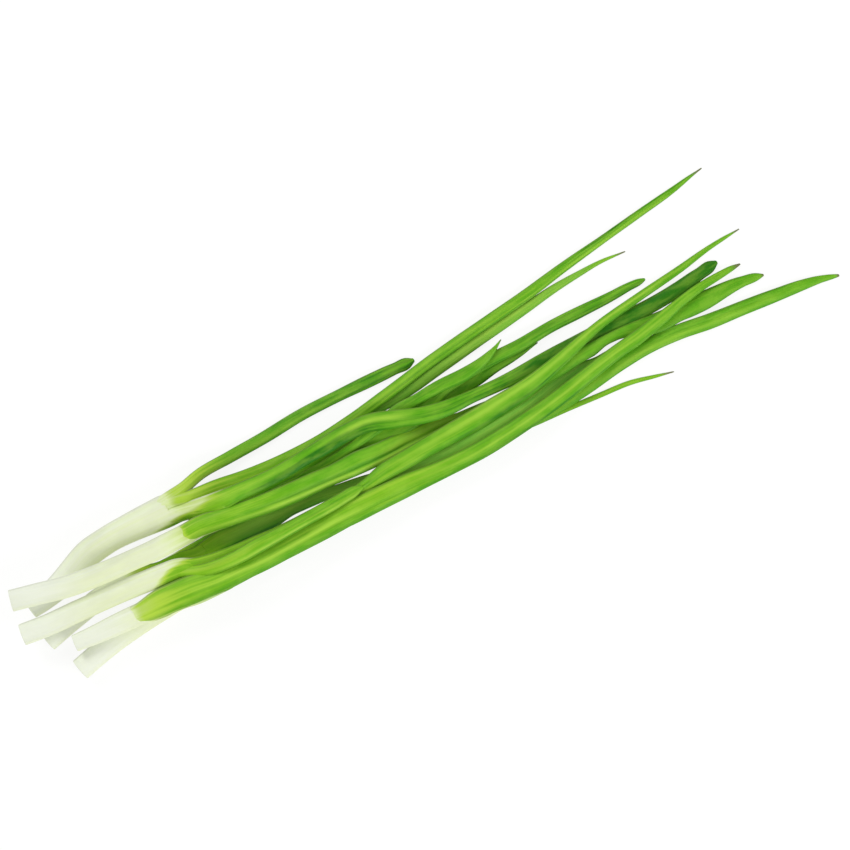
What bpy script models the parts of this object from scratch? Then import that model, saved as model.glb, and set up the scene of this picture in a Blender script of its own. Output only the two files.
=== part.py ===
"""A trimmed bunch of six spring onions lying loose on a table, at real size.

The frame is in metres with +Z up and +X along the bunch, from the cut ends to the leaf tips.
The origin is on the table, under the middle of the bunch's box.

Each onion has a pale shank and the leaves that come out of its mouth. Every stalk follows a route
in plan, and its height is found by laying the stalks one by one on what already lies below them.
"""

import math
from dataclasses import dataclass

import bmesh
import bpy
import numpy as np

MM = 0.001

# The middle of the bunch's box in the routes below, which are moved so that it is the origin (mm)
BOX_MIDDLE = (0.26, 0.05)

# Clearance between two stalks where one lies on the other, and between a leaf and its shank (mm)
LAYING_GAP = 0.5
SEAT_GAP = 0.4

# How far a stalk is pressed flat where it lies on the table (mm)
PRESS = 0.3

# The tightest upright bend of a stiff shank and of a limp leaf (mm)
SHANK_BEND = 320.0
LEAF_BEND = 130.0

# A shank is round at its cut end and flatter at its mouth: its thickness there as a share of its width
MOUTH_FLATNESS = 0.78
MOUTH_LENGTH = 25.0

# A leaf is a tube, thick at its seat and flattened further on, and never under THINNEST (mm)
SEAT_FLATNESS = 0.62
LEAF_FLATNESS = 0.45
FLATTENING_LENGTH = 35.0
THINNEST = 0.9

# Sides of a ring and the distance between two rings (mm)
SHANK_SIDES = 14
LEAF_SIDES = 10
SHANK_RING_SPACING = 6.0
LEAF_RING_SPACING = 12.0

# Distances from the tip of a leaf at which it gets extra rings, for a rounded end (mm)
TIP_RINGS = (9.0, 5.5, 3.0, 1.3)

# Step along a route, and the height map's cell, while the stalks are laid (mm)
STEP = 1.0
CELL = 0.5
MAP_LENGTH = 440.0
MAP_WIDTH = 120.0

# Points across a stalk at which the map is read before it is laid, and raised afterwards
LAYING_SHARES = 13
STAMPING_SHARES = 61

# Open air past both ends of a stalk, into which its curve is drawn on while it settles (mm)
FREE_END = 100.0

# Part of a shank's end that the height map leaves out, so that its own leaves can start there (mm)
OPEN_END = 1.5

# Part of a leaf, from its seat, that stays at the height of its seat (mm)
SEAT_LENGTH = 3.0


@dataclass
class Shank:
    """A shank's route from its cut end to its mouth: x, y and width in mm."""

    name: str
    route: tuple


@dataclass
class Leaf:
    """A leaf's route after its seat, and where in the shank's mouth it sits: across, up and width in mm."""

    name: str
    shank: str
    seat: tuple
    route: tuple


# The three shanks that lie on the table, then the three that lie on those
SHANKS = (
    Shank(
        "onion_1_shank",
        (
            (-191, 4.2, 9.5), (-183, 5.2, 10.3), (-174, 7.4, 11.7), (-166, 10.4, 12.2),
            (-157, 13.8, 12.6), (-147, 15.2, 12.6), (-135, 15.7, 12.6), (-113, 16.0, 12.2),
        ),
    ),
    Shank(
        "onion_4_shank",
        ((-191, -13.1, 8.1), (-175, -9.5, 8.1), (-162, -7.2, 8.1), (-146, -6.2, 8.1), (-122, -6.4, 7.2)),
    ),
    Shank(
        "onion_6_shank",
        ((-184, -30.4, 10.3), (-169, -27.1, 10.3), (-151, -24.6, 10.3), (-132, -23.8, 9.0)),
    ),
    Shank(
        "onion_2_shank",
        (
            (-196, 11.4, 9.9), (-184, 8.5, 9.9), (-171, 5.3, 9.9),
            (-154, 3.1, 9.9), (-134, 1.8, 9.2), (-115, 1.5, 8.6),
        ),
    ),
    Shank(
        "onion_3_shank",
        ((-199, -4.4, 9.9), (-187, -5.9, 9.9), (-172, -6.7, 9.9), (-152, -8.0, 9.9), (-126, -10.7, 9.9)),
    ),
    Shank(
        "onion_5_shank",
        ((-180, -18.8, 7.7), (-171, -19.6, 8.6), (-161, -20.1, 9.5), (-150, -20.7, 9.9)),
    ),
)

# The leaves in the order in which they lie, the lowest first
LEAVES = (
    Leaf(
        "onion_6_leaf_2", "onion_6_shank", (-1.0, -1.5, 3.6),
        (
            (-116, -25.8, 4.0), (-96, -26.7, 4.0), (-56, -27.7, 4.0), (-15, -28.0, 4.0), (5, -27.7, 3.6),
            (31, -27.1, 3.1), (51, -28.8, 2.7), (63, -29.7, 2.5), (80, -31.2, 2.5), (95, -32.7, 2.2),
            (106, -35.4, 1.6), (114, -37.4, 0.9),
        ),
    ),
    Leaf(
        "onion_6_leaf_1", "onion_6_shank", (0.4, 1.2, 6.3),
        (
            (-121, -25.7, 6.8), (-109, -26.6, 6.8), (-93, -26.6, 6.8), (-76, -27.4, 6.3), (-43, -27.5, 5.9),
            (-19, -25.9, 5.9), (6, -26.5, 5.9), (32, -25.9, 5.9), (57, -26.9, 5.9), (78, -25.1, 6.3),
            (95, -22.7, 6.8), (110, -21.8, 7.2), (125, -22.8, 7.2), (139, -25.0, 7.0), (156, -26.8, 6.5),
            (171, -28.6, 5.9), (183, -30.1, 5.0), (192, -31.7, 3.4), (197, -33.1, 1.9), (200, -34.0, 0.9),
        ),
    ),
    Leaf(
        "onion_4_leaf_2", "onion_4_shank", (1.0, -1.0, 3.6),
        (
            (-102, -5.4, 4.0), (-79, -4.2, 4.0), (-58, -3.5, 4.0), (-37, -2.0, 4.0), (-16, -0.2, 4.5),
            (1, 1.4, 5.0), (13, 1.1, 5.0), (26, 1.2, 5.0), (39, 2.1, 5.0), (50, 2.4, 4.8),
            (60, 2.6, 2.7), (66, 2.8, 0.9),
        ),
    ),
    Leaf(
        "onion_4_leaf_1", "onion_4_shank", (-0.5, 1.2, 5.4),
        (
            (-112, -9.0, 6.8), (-102, -10.1, 7.7), (-90, -11.0, 8.1), (-75, -11.4, 8.1), (-60, -12.5, 7.7),
            (-46, -14.1, 6.8), (-32, -16.1, 6.3), (-16, -19.5, 6.3), (4, -21.6, 6.3), (21, -21.8, 6.3),
            (37, -21.4, 6.3), (53, -19.4, 6.3), (67, -17.1, 5.9), (81, -15.7, 5.4), (92, -14.3, 4.0),
            (100, -13.5, 1.8),
        ),
    ),
    Leaf(
        "onion_1_leaf_4", "onion_1_shank", (-1.5, -2.8, 3.6),
        (
            (-102, 10.4, 4.0), (-82, 8.7, 4.5), (-62, 8.2, 4.5), (-25, 10.1, 4.5), (6, 11.0, 5.0),
            (22, 13.2, 5.0), (44, 16.1, 5.0), (69, 19.0, 4.5), (83, 20.7, 4.0), (98, 21.5, 2.7),
            (108, 21.7, 1.8), (120, 20.6, 0.9),
        ),
    ),
    Leaf(
        "onion_1_leaf_1", "onion_1_shank", (3.6, 0.8, 4.2),
        (
            (-105, 19.8, 5.0), (-96, 21.8, 5.4), (-80, 22.4, 5.4), (-62, 22.9, 5.6), (-43, 24.1, 5.6),
            (-23, 23.8, 5.6), (-8, 23.2, 5.9), (3, 22.7, 5.4), (10, 22.2, 4.0), (13, 22.1, 1.4),
        ),
    ),
    Leaf(
        "onion_1_leaf_2", "onion_1_shank", (0.0, 0.6, 4.2),
        (
            (-104, 14.9, 5.0), (-92, 13.6, 6.3), (-78, 11.3, 6.3), (-61, 9.8, 6.3), (-44, 9.6, 5.9),
            (-25, 11.3, 5.4), (-6, 13.9, 5.4), (20, 18.1, 5.4), (47, 21.4, 5.4), (72, 24.2, 5.2),
            (92, 27.3, 4.7), (113, 30.0, 3.8), (134, 32.7, 3.6), (153, 35.1, 2.7), (163, 36.8, 1.5),
            (168, 37.5, 0.9),
        ),
    ),
    Leaf(
        "onion_2_leaf_2", "onion_2_shank", (1.8, -2.0, 3.4),
        (
            (-98, 2.9, 4.5), (-80, 2.7, 5.0), (-62, 2.8, 5.4), (-45, 2.2, 5.9), (-30, 1.6, 5.9),
            (-18, 0.5, 5.4), (-5, 0.0, 5.0), (8, 1.8, 5.0), (25, 4.6, 5.4), (41, 5.9, 5.9),
            (59, 5.6, 5.9), (75, 6.4, 5.4), (90, 6.1, 5.2), (105, 5.7, 4.5), (115, 5.8, 3.6),
            (120, 5.5, 2.2), (122, 5.4, 1.0),
        ),
    ),
    Leaf(
        "onion_2_leaf_3", "onion_2_shank", (-1.8, -2.0, 3.4),
        (
            (-97, -0.6, 4.0), (-77, -1.0, 4.0), (-57, -1.1, 4.0), (-36, -0.1, 4.0), (-14, 2.6, 4.5),
            (3, 5.4, 5.0), (18, 6.2, 5.9), (31, 5.7, 5.9), (40, 6.9, 4.5), (47, 9.1, 2.7),
            (52, 11.6, 0.9),
        ),
    ),
    Leaf(
        "onion_2_leaf_1", "onion_2_shank", (0.0, 1.4, 6.8),
        (
            (-106, 1.7, 8.6), (-95, -0.4, 9.0), (-81, -2.8, 9.0), (-66, -4.7, 9.5), (-49, -5.8, 9.5),
            (-32, -7.6, 9.0), (-18, -8.8, 8.1), (-2, -8.8, 6.8), (13, -8.7, 6.3), (30, -9.8, 5.9),
            (50, -11.9, 5.4), (70, -12.0, 5.4), (90, -11.7, 5.4), (110, -12.6, 5.9), (130, -13.9, 6.1),
            (145, -14.5, 6.1), (160, -15.8, 4.5), (167, -17.2, 3.1), (170, -17.9, 1.0),
        ),
    ),
    Leaf(
        "onion_1_leaf_3", "onion_1_shank", (-3.6, 1.0, 4.6),
        (
            (-105, 9.5, 5.9), (-93, 7.8, 7.7), (-78, 6.2, 7.7), (-61, 5.6, 7.2), (-45, 6.8, 6.8),
            (-29, 8.0, 6.8), (-17, 7.1, 6.8), (-6, 3.4, 6.8), (5, -0.7, 6.3), (18, -3.4, 5.9),
            (33, -5.0, 5.9), (48, -5.8, 6.3), (66, -5.2, 6.3), (84, -5.1, 6.3), (101, -5.3, 6.3),
            (119, -6.0, 6.3), (134, -5.5, 6.5), (144, -4.2, 5.9), (151, -3.3, 4.0), (154, -3.0, 1.4),
        ),
    ),
    Leaf(
        "onion_3_leaf_1", "onion_3_shank", (0.0, 0.6, 7.2),
        (
            (-115, -14.6, 8.6), (-101, -17.0, 9.0), (-86, -16.9, 9.0), (-68, -17.6, 9.0), (-50, -17.4, 9.0),
            (-29, -16.3, 8.6), (-9, -15.6, 8.6), (12, -14.6, 8.6), (33, -13.5, 8.1), (55, -11.6, 6.8),
            (72, -8.0, 5.2), (95, -3.1, 4.3), (117, -0.3, 3.8), (138, 2.0, 3.4), (155, 4.4, 2.2),
            (166, 5.2, 1.4), (170, 5.4, 0.9),
        ),
    ),
    Leaf(
        "onion_5_leaf_1", "onion_5_shank", (0.0, 0.6, 8.6),
        (
            (-142, -21.4, 10.8), (-129, -22.3, 11.2), (-115, -23.5, 11.2), (-100, -24.2, 11.2),
            (-85, -25.0, 10.8), (-70, -25.0, 10.8), (-54, -25.0, 10.3), (-39, -25.7, 9.9),
            (-19, -26.6, 9.0), (1, -27.3, 8.6), (21, -27.7, 8.1), (42, -26.2, 7.7), (58, -24.2, 7.4),
            (75, -21.4, 7.4), (92, -18.2, 6.8), (109, -15.4, 5.6), (126, -12.2, 4.7), (143, -9.4, 4.0),
            (153, -8.8, 3.4), (160, -8.6, 2.2), (163, -8.7, 0.9),
        ),
    ),
    Leaf(
        "onion_3_leaf_2", "onion_3_shank", (-3.0, 3.6, 4.0),
        (
            (-114, -16.8, 5.9), (-99, -18.8, 6.3), (-84, -18.4, 6.8), (-68, -18.0, 6.8), (-55, -17.7, 6.8),
            (-45, -17.5, 6.3), (-38, -17.3, 4.5), (-34, -17.4, 1.4),
        ),
    ),
)


def along(route, spacing):
    """Points at even steps on a smooth curve through the route's points: x, y and width."""
    points = np.array(route, float) - (*BOX_MIDDLE, 0.0)
    gaps = np.hypot(*(points[1:, :2] - points[:-1, :2]).T)
    at = np.concatenate([[0.0], np.cumsum(gaps)])
    slope = np.gradient(points, at, axis=0)
    count = max(2, round(at[-1] / spacing) + 1)
    wanted = np.linspace(0.0, at[-1], count)
    first = np.clip(np.searchsorted(at, wanted, side="right") - 1, 0, len(at) - 2)
    span = (at[first + 1] - at[first])[:, None]
    u = (wanted - at[first])[:, None] / span
    curve = (
        (2 * u**3 - 3 * u**2 + 1) * points[first]
        + (u**3 - 2 * u**2 + u) * span * slope[first]
        + (3 * u**2 - 2 * u**3) * points[first + 1]
        + (u**3 - u**2) * span * slope[first + 1]
    )
    return curve[:, :2], curve[:, 2], wanted


def headings(plan):
    """The unit vectors along a route and to its left, in plan."""
    forward = np.gradient(plan, axis=0)
    forward /= np.linalg.norm(forward, axis=1)[:, None]
    return forward, np.stack([-forward[:, 1], forward[:, 0]], axis=1)


def easing(share):
    """0 to 1 with level ends."""
    share = np.clip(share, 0.0, 1.0)
    return share * share * (3.0 - 2.0 * share)


def shank_thickness(widths, reach):
    towards_mouth = easing((reach - reach[-1] + MOUTH_LENGTH) / MOUTH_LENGTH)
    return widths * (1.0 - (1.0 - MOUTH_FLATNESS) * towards_mouth)


def leaf_thickness(widths, reach):
    flatness = SEAT_FLATNESS - (SEAT_FLATNESS - LEAF_FLATNESS) * easing(reach / FLATTENING_LENGTH)
    return np.maximum(widths * flatness, THINNEST)


def bulge(heights, shares):
    """Half the thickness of each oval cross-section, at shares of its half width to the side."""
    return heights[:, None] / 2 * np.sqrt(1.0 - shares[None, :] ** 2)


def across(plan, left, widths, shares):
    """The points in plan that lie at those shares of the half width to the side of each plan point."""
    return plan[:, None, :] + left[:, None, :] * (shares[None, :] * widths[:, None] / 2)[:, :, None]


def settle(needed, bend):
    """The lowest curve that stays above NEEDED and bends no tighter than BEND, up or down."""
    overhang = round(FREE_END / STEP)
    open_air = np.pad(needed, overhang, constant_values=-MAP_LENGTH)
    reach = np.arange(len(open_air)) * STEP
    droop = (reach[:, None] - reach[None, :]) ** 2 / (2.0 * bend)
    humps = (open_air[None, :] - droop).max(axis=1)
    cover = (humps[None, :] - droop).max(axis=1)
    return (cover[None, :] + droop).min(axis=1)[overhang:-overhang]


class Pile:
    """The height of everything laid so far, on a grid of cells over the table (mm)."""

    def __init__(self):
        self.top = np.zeros((round(MAP_LENGTH / CELL), round(MAP_WIDTH / CELL)))

    def cells(self, points):
        rows = np.round((points[..., 0] + MAP_LENGTH / 2) / CELL).astype(int)
        columns = np.round((points[..., 1] + MAP_WIDTH / 2) / CELL).astype(int)
        return rows, columns

    def lay(self, plan, widths, heights, reach, bend, seat_height):
        """Lays a stalk and returns the height of its middle line."""
        shares = np.linspace(-1.0, 1.0, LAYING_SHARES)
        below = self.top[self.cells(across(plan, headings(plan)[1], widths, shares))]
        clearance = np.where(below > 0.0, LAYING_GAP, -PRESS)
        needed = (below + clearance + bulge(heights, shares)).max(axis=1)
        if seat_height is not None:
            needed[reach <= SEAT_LENGTH] = np.maximum(needed[reach <= SEAT_LENGTH], seat_height)
        middle = settle(needed, bend)
        self.stamp(plan, widths, heights, reach, middle, seat_height is None)
        return middle

    def stamp(self, plan, widths, heights, reach, middle, is_shank):
        """Raises the height map to the top of a stalk that has been laid."""
        fine = np.arange(0.0, reach[-1] - (OPEN_END if is_shank else 0.0), CELL / 2)
        x, y, width, height, centre = (
            np.interp(fine, reach, values) for values in (*plan.T, widths, heights, middle)
        )
        shares = np.linspace(-1.0, 1.0, STAMPING_SHARES)
        fine_plan = np.stack([x, y], axis=1)
        spots = across(fine_plan, headings(fine_plan)[1], width, shares)
        np.maximum.at(self.top, self.cells(spots), bulge(height, shares) + centre[:, None])


def stations(length, spacing, tip_rings):
    """Distances along a stalk at which it gets a ring."""
    count = max(3, round(length / spacing) + 1)
    places = list(np.linspace(0.0, length, count))
    if tip_rings:
        places = [at for at in places if at < length - TIP_RINGS[0] - 2.0]
        places += [length - back for back in TIP_RINGS] + [length]
    return np.array(places)


def tube(name, sides, rings, finish):
    """A closed tube through RINGS, each a middle, a left vector, a half width and a half height."""
    mesh_data = bmesh.new()
    circle = bmesh.ops.create_circle(mesh_data, cap_ends=True, radius=1.0, segments=sides)
    edges = [edge for edge in mesh_data.edges if all(v in circle["verts"] for v in edge.verts)]
    # A straight tube is drawn out first, one unit long for each ring
    for level in range(1, len(rings)):
        drawn = bmesh.ops.extrude_edge_only(mesh_data, edges=edges)["geom"]
        ring = [item for item in drawn if isinstance(item, bmesh.types.BMVert)]
        bmesh.ops.translate(mesh_data, verts=ring, vec=(0.0, 0.0, 1.0))
        edges = [item for item in drawn if isinstance(item, bmesh.types.BMEdge)]
        edges = [edge for edge in edges if all(v in ring for v in edge.verts)]
    bmesh.ops.contextual_create(mesh_data, geom=edges)
    # Then each of its rings is moved to its place on the stalk
    for vertex in mesh_data.verts:
        middle, left, half_width, half_height = rings[round(vertex.co.z)]
        turn = math.atan2(vertex.co.y, vertex.co.x) + math.pi / sides
        x, y = middle[:2] + left * math.cos(turn) * half_width
        z = max(middle[2] + math.sin(turn) * half_height, 0.0)
        vertex.co = (x * MM, y * MM, z * MM)
    if mesh_data.calc_volume(signed=True) < 0.0:
        bmesh.ops.reverse_faces(mesh_data, faces=mesh_data.faces)
    mesh = bpy.data.meshes.new(name)
    mesh_data.to_mesh(mesh)
    mesh_data.free()
    mesh.materials.append(finish)
    mesh.shade_smooth()
    mesh.set_sharp_from_angle(angle=math.radians(50))
    bpy.context.scene.collection.objects.link(bpy.data.objects.new(name, mesh))


def build_stalk(pile, name, route, thickness, bend, sides, spacing, seat, finish):
    """Lays one stalk on the pile and makes its solid. Returns the last ring, at its far end."""
    plan, widths, reach = along(route, STEP)
    heights = thickness(widths, reach)
    left = headings(plan)[1]
    seat_height = None
    if seat:
        # The first ring of a leaf stands parallel to the end face of its shank
        seat_height, left[0] = seat
    middle = pile.lay(plan, widths, heights, reach, bend, seat_height)
    rings = []
    for at in stations(reach[-1], spacing, bool(seat)):
        spot = [np.interp(at, reach, values) for values in (*plan.T, middle)]
        side = np.array([np.interp(at, reach, values) for values in left.T])
        half_width = np.interp(at, reach, widths) / 2
        half_height = np.interp(at, reach, heights) / 2
        rings.append((np.array(spot), side / np.linalg.norm(side), half_width, half_height))
    tube(name, sides, rings, finish)
    return rings[-1]


def seat_of(leaf, mouth):
    """A leaf's first route point, just past the end face of its shank, then its height and left there."""
    middle, left = mouth[:2]
    forward = np.array([left[1], -left[0]])
    across, up, width = leaf.seat
    spot = middle[:2] + forward * SEAT_GAP + left * across + np.array(BOX_MIDDLE)
    return (spot[0], spot[1], width), (middle[2] + up, left)


def material(name, colour, roughness):
    finish = bpy.data.materials.new(name)
    finish.use_nodes = True
    shader = finish.node_tree.nodes["Principled BSDF"]
    shader.inputs["Base Color"].default_value = (*colour, 1.0)
    shader.inputs["Roughness"].default_value = roughness
    finish.diffuse_color = (*colour, 1.0)
    return finish


def build_bunch():
    for item in list(bpy.data.objects):
        bpy.data.objects.remove(item, do_unlink=True)
    pale = material("pale_shank", (0.82, 0.86, 0.68), 0.4)
    green = material("green_leaf", (0.16, 0.42, 0.03), 0.42)
    pile = Pile()
    mouths = {}
    for shank in SHANKS:
        mouths[shank.name] = build_stalk(
            pile, shank.name, shank.route, shank_thickness, SHANK_BEND,
            SHANK_SIDES, SHANK_RING_SPACING, None, pale,
        )
    for leaf in LEAVES:
        start, seat = seat_of(leaf, mouths[leaf.shank])
        build_stalk(
            pile, leaf.name, (start, *leaf.route), leaf_thickness, LEAF_BEND,
            LEAF_SIDES, LEAF_RING_SPACING, seat, green,
        )


build_bunch()
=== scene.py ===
# %% [markdown]
# # A bunch of spring onions
# Six slim onions lie loose on a pale table: white shanks with square-cut ends to the left, long
# hollow leaves that cross each other to the right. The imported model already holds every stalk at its
# place and size, as a plain faceted solid. This lesson gives each stalk its real skin. A shank is a
# roll of leaf sheaths with an oblique, thin-edged mouth, and a leaf is a soft tube with creases,
# a waxy colour that changes from base to tip, and a dry point.

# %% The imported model
import math
from dataclasses import dataclass

import bmesh
import bpy
import numpy as np
from mathutils.bvhtree import BVHTree
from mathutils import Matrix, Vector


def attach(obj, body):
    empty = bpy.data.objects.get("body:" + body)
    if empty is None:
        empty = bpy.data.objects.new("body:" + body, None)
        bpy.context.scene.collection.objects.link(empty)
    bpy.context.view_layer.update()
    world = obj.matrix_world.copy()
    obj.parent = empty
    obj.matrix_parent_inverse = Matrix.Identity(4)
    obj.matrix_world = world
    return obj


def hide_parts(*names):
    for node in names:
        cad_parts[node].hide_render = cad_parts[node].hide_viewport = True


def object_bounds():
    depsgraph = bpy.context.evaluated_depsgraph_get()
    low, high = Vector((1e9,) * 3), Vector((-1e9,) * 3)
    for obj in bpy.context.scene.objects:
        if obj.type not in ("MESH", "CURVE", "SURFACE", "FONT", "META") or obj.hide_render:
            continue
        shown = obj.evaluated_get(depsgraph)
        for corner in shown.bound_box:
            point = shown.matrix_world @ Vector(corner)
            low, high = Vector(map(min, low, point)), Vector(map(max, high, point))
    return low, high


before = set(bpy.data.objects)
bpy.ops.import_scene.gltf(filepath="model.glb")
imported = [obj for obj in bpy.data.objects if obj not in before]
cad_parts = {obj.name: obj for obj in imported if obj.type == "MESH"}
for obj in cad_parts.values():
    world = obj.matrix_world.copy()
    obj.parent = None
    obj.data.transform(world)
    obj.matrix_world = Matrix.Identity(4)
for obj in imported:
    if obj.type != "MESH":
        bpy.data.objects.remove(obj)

MM = 0.001
CAD_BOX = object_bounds()
cad_size = [round(v / MM, 1) for v in CAD_BOX[1] - CAD_BOX[0]]
print(len(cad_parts), "stalks in a box of", cad_size, "mm")

# %% [markdown]
# ## The view from above
# The onions are seen straight from above, with the bunch rising to the right at 28 degrees. A long
# lens from far away keeps the view nearly parallel, as in a catalogue picture. The camera has no
# shift and no blur, so that it can also be moved round the bunch.

# %% Camera
VIEW_SPAN = 382.5 * MM
VIEW_TURN = math.radians(-28.0)
VIEW_MIDDLE = (3.94 * MM, -6.15 * MM)
LENS = 200.0
SENSOR = 36.0


def add_camera():
    lens = bpy.data.cameras.new("camera")
    lens.lens = LENS
    lens.sensor_width = SENSOR
    camera = bpy.data.objects.new("camera", lens)
    camera.location = (*VIEW_MIDDLE, VIEW_SPAN * LENS / SENSOR)
    camera.rotation_euler = (0.0, 0.0, VIEW_TURN)
    bpy.context.scene.collection.objects.link(camera)
    bpy.context.scene.camera = camera
    return camera


camera = add_camera()
print("camera", round(camera.location.z, 2), "m above the table")

# %% [markdown]
# ## Soft light and a light table
# The onions lie on a photographer's light table: a sheet that glows a little by itself, so that the
# shadows on it stay faint. To the eye it glows, and to the onions it is plain white, which lights
# their undersides. A large lamp stands at the upper left of the picture and a weaker one opposite
# it, under a nearly white sky.

# %% Table and lamps
TABLE_SIDE = 8.0
TABLE_DROP = 0.05 * MM
TABLE_COLOUR = (0.16, 0.16, 0.16)
TABLE_GLOW = (0.86, 0.86, 0.855)
TABLE_BOUNCE = (0.8, 0.8, 0.8)
SKY_COLOUR = (1.0, 1.0, 1.0)
SKY_STRENGTH = 0.52
# Each lamp: name, place in the picture's right, up and towards the eye (m), size (m), power (W)
LAMPS = (
    ("key_lamp", (-0.85, 0.9, 1.0), 0.8, 11.5),
    ("fill_lamp", (0.95, -0.7, 0.7), 1.1, 13.0),
)


def add_table():
    shape = bmesh.new()
    bmesh.ops.create_grid(shape, x_segments=1, y_segments=1, size=TABLE_SIDE / 2)
    bmesh.ops.translate(shape, verts=shape.verts, vec=(0.0, 0.0, -TABLE_DROP))
    mesh = bpy.data.meshes.new("table")
    shape.to_mesh(mesh)
    shape.free()
    table = bpy.data.objects.new("table", mesh)
    finish = bpy.data.materials.new("white_table")
    finish.use_nodes = True
    tree = finish.node_tree
    shader = tree.nodes["Principled BSDF"]
    shader.inputs["Emission Color"].default_value = (*TABLE_GLOW, 1.0)
    shader.inputs["Roughness"].default_value = 0.9
    shader.inputs["Specular IOR Level"].default_value = 0.0
    seen = tree.nodes.new("ShaderNodeLightPath").outputs["Is Camera Ray"]
    tree.links.new(seen, shader.inputs["Emission Strength"])
    # Inputs 0, 6 and 7 of a Mix node are its share and its colours, and output 2 is their mix
    colour = tree.nodes.new("ShaderNodeMix")
    colour.data_type = "RGBA"
    colour.inputs[6].default_value = (*TABLE_BOUNCE, 1.0)
    colour.inputs[7].default_value = (*TABLE_COLOUR, 1.0)
    tree.links.new(seen, colour.inputs[0])
    tree.links.new(colour.outputs[2], shader.inputs["Base Color"])
    mesh.materials.append(finish)
    bpy.context.scene.collection.objects.link(table)
    return table


def add_lamp(name, place, size, power):
    right, up, towards = place
    cosine, sine = math.cos(VIEW_TURN), math.sin(VIEW_TURN)
    light = bpy.data.lights.new(name, "AREA")
    light.shape = "DISK"
    light.size = size
    light.energy = power
    lamp = bpy.data.objects.new(name, light)
    lamp.location = (right * cosine - up * sine, right * sine + up * cosine, towards)
    lamp.rotation_euler = lamp.location.to_track_quat("Z", "Y").to_euler()
    bpy.context.scene.collection.objects.link(lamp)


def add_sky():
    sky = bpy.data.worlds.new("sky")
    sky.use_nodes = True
    background = sky.node_tree.nodes["Background"]
    background.inputs["Color"].default_value = (*SKY_COLOUR, 1.0)
    background.inputs["Strength"].default_value = SKY_STRENGTH
    bpy.context.scene.world = sky


add_table()
for lamp in LAMPS:
    add_lamp(*lamp)
add_sky()
bpy.context.scene.view_settings.view_transform = "Standard"
print(len(LAMPS), "lamps")

# %% [markdown]
# ## Where each stalk runs
# The routes are the model's own: points in plan along each stalk, with its width there, in
# millimetres. A shank runs from its cut end to its mouth. A leaf starts at its seat in the mouth,
# given as across, up and width, and then follows its own points to the tip.

# %% Routes of the shanks
BOX_MIDDLE = (0.26, 0.05)
SHANK_ROUTES = {
    "onion_1_shank": (
        (-191, 4.2, 9.5), (-183, 5.2, 10.3), (-174, 7.4, 11.7), (-166, 10.4, 12.2),
        (-157, 13.8, 12.6), (-147, 15.2, 12.6), (-135, 15.7, 12.6), (-113, 16, 12.2),
    ),
    "onion_2_shank": (
        (-196, 11.4, 9.9), (-184, 8.5, 9.9), (-171, 5.3, 9.9),
        (-154, 3.1, 9.9), (-134, 1.8, 9.2), (-115, 1.5, 8.6),
    ),
    "onion_3_shank": (
        (-199, -4.4, 9.9), (-187, -5.9, 9.9), (-172, -6.7, 9.9), (-152, -8, 9.9), (-126, -10.7, 9.9),
    ),
    "onion_4_shank": (
        (-191, -13.1, 8.1), (-175, -9.5, 8.1), (-162, -7.2, 8.1), (-146, -6.2, 8.1), (-122, -6.4, 7.2),
    ),
    "onion_5_shank": ((-180, -18.8, 7.7), (-171, -19.6, 8.6), (-161, -20.1, 9.5), (-150, -20.7, 9.9)),
    "onion_6_shank": ((-184, -30.4, 10.3), (-169, -27.1, 10.3), (-151, -24.6, 10.3), (-132, -23.8, 9)),
}

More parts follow.
